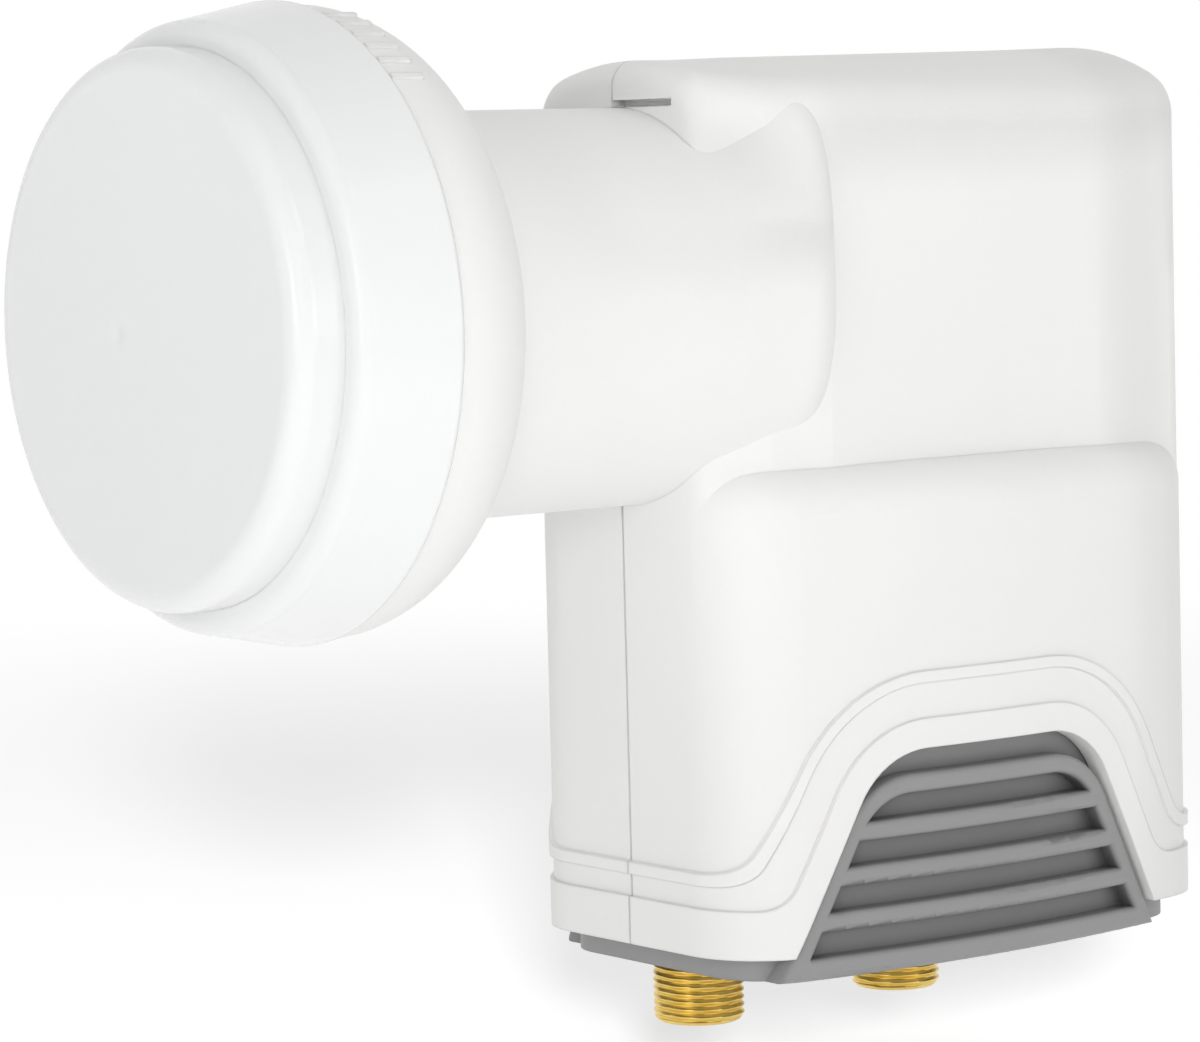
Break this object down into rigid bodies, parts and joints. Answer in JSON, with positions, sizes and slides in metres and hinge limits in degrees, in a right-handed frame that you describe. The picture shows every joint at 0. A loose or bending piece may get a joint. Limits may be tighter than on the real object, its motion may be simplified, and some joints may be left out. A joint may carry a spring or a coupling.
{
  "type": "satellite lnb",
  "caption": "White satellite LNB with a round clamping neck, capped feed horn, two-part housing and a grey weather boot that slides down over its brass F sockets.",
  "frame": {"origin": "on the feed axis, at the middle of the neck's clamping zone", "axes": "feed axis along Y with the cap towards -Y and the housing towards +Y, sockets down along -Z, +X the housing's right side seen from behind"},
  "size_m": [0.0614, 0.1217, 0.1059],
  "materials": {
    "shell_white": "fine matt texture",
    "cap_white": "glossy",
    "boot_grey": "satin",
    "socket_brass": "bright turned brass",
    "cast_metal": "die cast",
    "tin_plate": "tinned sheet",
    "screw_steel": "zinc plated",
    "board_green": "solder mask",
    "chip_black": "moulded",
    "ceramic_tan": "fired ceramic",
    "contact_gold": "plated",
    "insulator_white": "plain",
    "seal_rubber": "plain"
  },
  "bodies": {
    "housing": {"feed_cap": "cap_white", "cap_seal": "seal_rubber", "housing_right": "shell_white", "housing_left": "shell_white", "horn_casting": "cast_metal", "shield_cover": "tin_plate", "cover_screws": "screw_steel", "circuit_board": "board_green", "converter_chip_1": "chip_black", "converter_chip_2": "chip_black", "noise_transistor_1": "chip_black", "noise_transistor_2": "chip_black", "noise_transistor_3": "chip_black", "noise_transistor_4": "chip_black", "crystal": "tin_plate", "regulator_1": "chip_black", "regulator_2": "chip_black", "capacitor_1": "ceramic_tan", "capacitor_2": "ceramic_tan", "probe_horizontal": "contact_gold", "probe_vertical": "contact_gold", "probe_bush_1": "insulator_white", "probe_bush_2": "insulator_white", "connector_shell_1": "socket_brass", "connector_shell_2": "socket_brass", "connector_washer_1": "seal_rubber", "connector_washer_2": "seal_rubber", "connector_insulator_1": "insulator_white", "connector_insulator_2": "insulator_white", "connector_contact_1": "contact_gold", "connector_contact_2": "contact_gold"},
    "boot": {"weather_boot": "boot_grey"}
  },
  "joints": [
    {"name": "boot_slide", "type": "slide", "parent": "housing", "child": "boot", "axis": [0, 0, -1], "range_m": [0, 0.02]}
  ]
}
